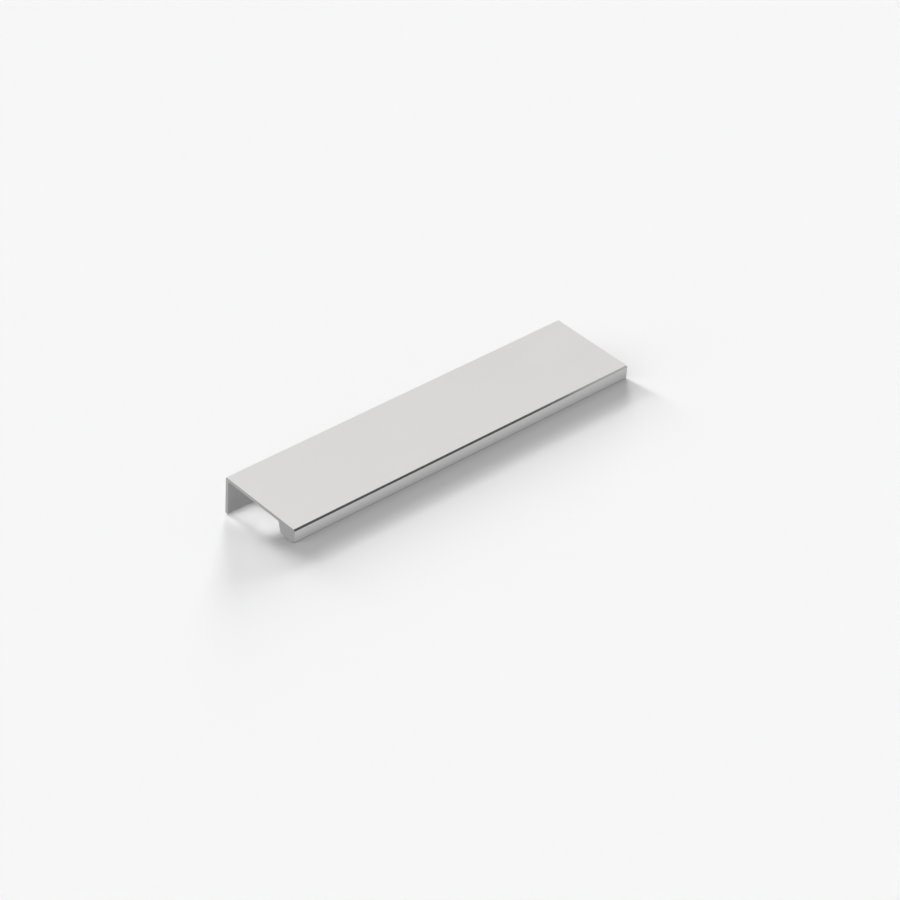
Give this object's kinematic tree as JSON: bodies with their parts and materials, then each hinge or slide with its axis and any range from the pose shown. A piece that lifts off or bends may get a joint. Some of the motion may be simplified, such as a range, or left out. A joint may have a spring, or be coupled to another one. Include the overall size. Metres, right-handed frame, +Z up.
{
  "type": "edge pull",
  "caption": "Straight extruded aluminium edge pull: a thin plate over a door's edge, a screw leg behind it and a thick bevelled finger lip along the front.",
  "frame": {"origin": "centre of the outline on the floor, with the pull lying unheld on its leg's foot and its lip", "axes": "+X along the length, -Y towards the lip at the front, +Z up"},
  "size_m": [0.16, 0.04, 0.0153],
  "materials": {
    "satin_aluminium": "satin anodised"
  },
  "bodies": {
    "root": {"edge_pull": "satin_aluminium"}
  },
  "joints": []
}
